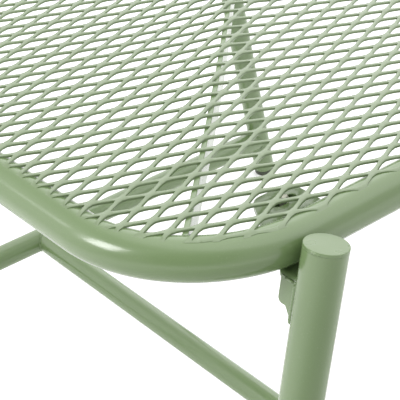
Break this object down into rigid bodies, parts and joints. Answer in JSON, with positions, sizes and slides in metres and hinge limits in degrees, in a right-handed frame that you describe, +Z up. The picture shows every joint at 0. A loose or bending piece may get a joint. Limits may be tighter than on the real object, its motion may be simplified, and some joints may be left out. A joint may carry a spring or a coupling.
{
  "type": "picnic table",
  "caption": "Square outdoor table: expanded-metal top in a round-tube rim, on two splayed tube leg frames joined by low rails and a stretcher.",
  "frame": {"origin": "on the ground under the middle of the table top", "axes": "+Z up; the two leg frames stand at -Y (front) and +Y (rear), and their legs splay along X"},
  "size_m": [1.064, 1.093, 0.7632],
  "materials": {
    "green_powder_coat": "satin sage-green powder coat on steel tube and plate",
    "expanded_metal_coat": "sage-green powder coat on expanded steel sheet, paler on the sheared upper edges",
    "cap_coat": "satin sage-green powder coat on a flat welded end cap",
    "foot_plastic": "dark matte plastic",
    "zinc_plate": "bright zinc plate"
  },
  "bodies": {
    "root": {"top_rim": "green_powder_coat", "mesh_panel": "expanded_metal_coat", "stiffener_long": "green_powder_coat", "stiffener_left": "green_powder_coat", "stiffener_right": "green_powder_coat", "rail_front": "green_powder_coat", "rail_rear": "green_powder_coat", "stretcher": "green_powder_coat", "leg_front_left": "green_powder_coat", "leg_cap_front_left": "cap_coat", "foot_front_left": "foot_plastic", "rim_lug_front_left": "green_powder_coat", "leg_bracket_front_left": "green_powder_coat", "bolt_front_left": "zinc_plate", "washer_front_left": "zinc_plate", "nut_front_left": "zinc_plate", "leg_front_right": "green_powder_coat", "leg_cap_front_right": "cap_coat", "foot_front_right": "foot_plastic", "rim_lug_front_right": "green_powder_coat", "leg_bracket_front_right": "green_powder_coat", "bolt_front_right": "zinc_plate", "washer_front_right": "zinc_plate", "nut_front_right": "zinc_plate", "leg_rear_left": "green_powder_coat", "leg_cap_rear_left": "cap_coat", "foot_rear_left": "foot_plastic", "rim_lug_rear_left": "green_powder_coat", "leg_bracket_rear_left": "green_powder_coat", "bolt_rear_left": "zinc_plate", "washer_rear_left": "zinc_plate", "nut_rear_left": "zinc_plate", "leg_rear_right": "green_powder_coat", "leg_cap_rear_right": "cap_coat", "foot_rear_right": "foot_plastic", "rim_lug_rear_right": "green_powder_coat", "leg_bracket_rear_right": "green_powder_coat", "bolt_rear_right": "zinc_plate", "washer_rear_right": "zinc_plate", "nut_rear_right": "zinc_plate"}
  },
  "joints": []
}
